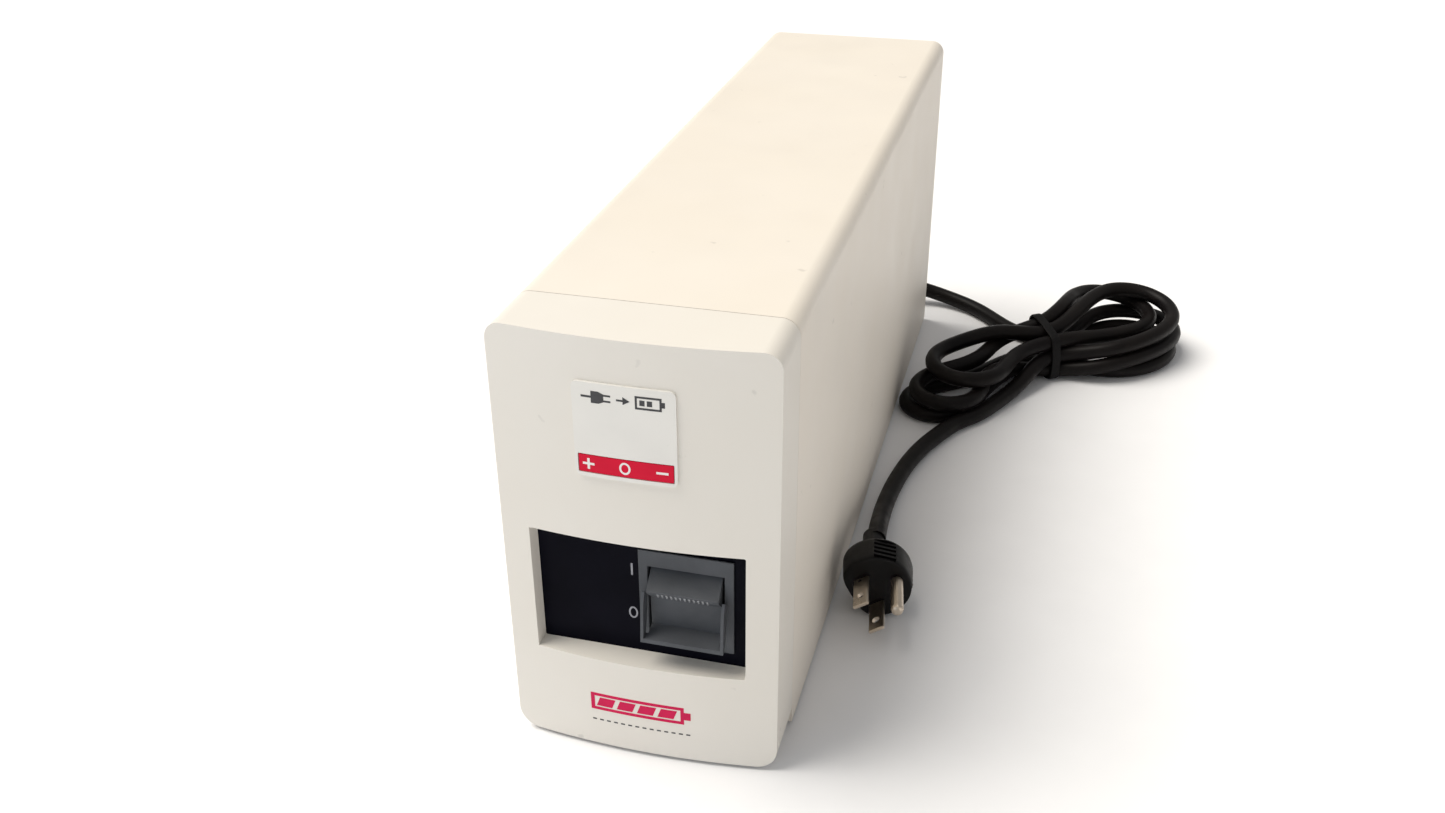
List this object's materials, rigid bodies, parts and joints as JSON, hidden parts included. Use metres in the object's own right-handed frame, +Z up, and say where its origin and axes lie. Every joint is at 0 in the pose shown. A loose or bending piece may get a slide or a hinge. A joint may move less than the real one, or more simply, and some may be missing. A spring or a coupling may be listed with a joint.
{
  "type": "uninterruptible power supply",
  "caption": "Slim tower uninterruptible power supply with a recessed rocker switch, rear outlets and a tied mains cord.",
  "frame": {"origin": "under the middle of the case, on the surface its feet stand on", "axes": "+Z up, -Y out of the front with the power switch, +Y out of the rear with the outlets, +X to the right as seen from the front"},
  "size_m": [0.2321, 0.427, 0.157],
  "materials": {
    "case": "fine satin texture",
    "panel_black": "smoked gloss",
    "switch_grey": "satin",
    "black_plastic": "satin",
    "outlet_black": "satin",
    "label_plate": "satin print",
    "label_red": "satin print",
    "steel": "zinc plated",
    "brass": "tinned",
    "plug_brass": "dull nickel",
    "circuit_board": "solder mask",
    "lamp_green": "translucent",
    "lamp_red": "translucent",
    "battery_case": "satin",
    "wire_black": "satin",
    "wire_red": "satin",
    "lamination": "varnished",
    "coil_tape": "tape",
    "heat_sink": "mill",
    "capacitor_sleeve": "shrink sleeve",
    "foot_rubber": "matte",
    "cord_black": "soft sheen",
    "tie_black": "satin"
  },
  "bodies": {
    "case": {"outer_cover": "case", "front_bezel": "case", "battery_door": "case", "control_panel": "panel_black", "switch_frame": "switch_grey", "switch_body": "black_plastic", "rocker_pin": "steel", "lamp_board": "circuit_board", "lamp_on_line": "lamp_green", "lamp_on_battery": "lamp_red", "label": "label_plate", "label_band": "label_red", "base_tray": "steel", "rear_panel": "steel", "battery": "battery_case", "terminal_negative": "brass", "terminal_positive": "brass", "battery_lead_negative": "wire_black", "battery_lead_positive": "wire_red", "door_screw_left": "steel", "door_screw_right": "steel", "transformer_core": "lamination", "transformer_coil": "coil_tape", "transformer_clamp": "steel", "main_board": "circuit_board", "heat_sink": "heat_sink", "transfer_relay": "black_plastic", "capacitor_1": "capacitor_sleeve", "capacitor_2": "capacitor_sleeve", "buzzer": "black_plastic", "rear_screw_low_left": "steel", "rear_screw_low_right": "steel", "rear_screw_high_left": "steel", "rear_screw_high_right": "steel", "outlet_1": "outlet_black", "outlet_2": "outlet_black", "outlet_3": "outlet_black", "breaker_body": "black_plastic", "breaker_nut": "steel", "foot_front_left": "foot_rubber", "foot_front_right": "foot_rubber", "foot_rear_left": "foot_rubber", "foot_rear_right": "foot_rubber", "strain_relief": "cord_black", "cord_lead": "cord_black", "cord_hank": "cord_black", "cord_tail": "cord_black", "cord_tie": "tie_black", "plug_body": "cord_black", "plug_blade_line": "plug_brass", "plug_blade_neutral": "plug_brass", "plug_ground_pin": "plug_brass"},
    "rocker": {"power_rocker": "switch_grey"},
    "reset_button": {"breaker_button": "black_plastic"}
  },
  "joints": [
    {"name": "rocker_tilt", "type": "hinge", "parent": "case", "child": "rocker", "pos_m": [0.0146, -0.174, 0.06], "axis": [1, 0, 0], "range_deg": [0, 16]},
    {"name": "reset_button_slide", "type": "slide", "parent": "case", "child": "reset_button", "axis": [0, 1, 0], "range_m": [0, 0.0035]}
  ]
}
